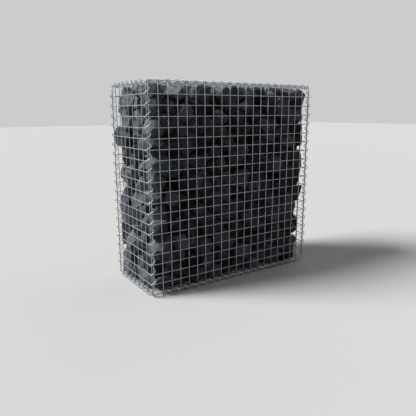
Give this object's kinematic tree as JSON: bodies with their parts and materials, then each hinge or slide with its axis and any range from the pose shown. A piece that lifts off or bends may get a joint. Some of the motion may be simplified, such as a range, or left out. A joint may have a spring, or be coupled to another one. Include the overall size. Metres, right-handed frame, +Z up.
{
  "type": "gabion wall",
  "caption": "Free-standing gabion wall: a welded-mesh basket, laced with spiral wire along its edges and filled with dark crushed rock.",
  "frame": {"origin": "bottom centre of the basket, at ground level", "axes": "+X along the wall, +Y through it from front to back, +Z up"},
  "size_m": [1.0364, 0.4352, 1.0358],
  "materials": {
    "galvanised_wire": "hot-dip galvanised",
    "crushed_basalt": "freshly crushed"
  },
  "bodies": {
    "root": {"mesh_front": "galvanised_wire", "mesh_back": "galvanised_wire", "mesh_left_end": "galvanised_wire", "mesh_right_end": "galvanised_wire", "mesh_base": "galvanised_wire", "mesh_lid": "galvanised_wire", "spiral_front_left": "galvanised_wire", "spiral_front_right": "galvanised_wire", "spiral_back_left": "galvanised_wire", "spiral_back_right": "galvanised_wire", "spiral_bottom_front": "galvanised_wire", "spiral_bottom_back": "galvanised_wire", "spiral_bottom_left": "galvanised_wire", "spiral_bottom_right": "galvanised_wire", "spiral_top_front": "galvanised_wire", "spiral_top_back": "galvanised_wire", "spiral_top_left": "galvanised_wire", "spiral_top_right": "galvanised_wire", "rock_lift_1": "crushed_basalt", "rock_lift_2": "crushed_basalt", "rock_lift_3": "crushed_basalt", "rock_lift_4": "crushed_basalt", "rock_lift_5": "crushed_basalt"}
  },
  "joints": []
}
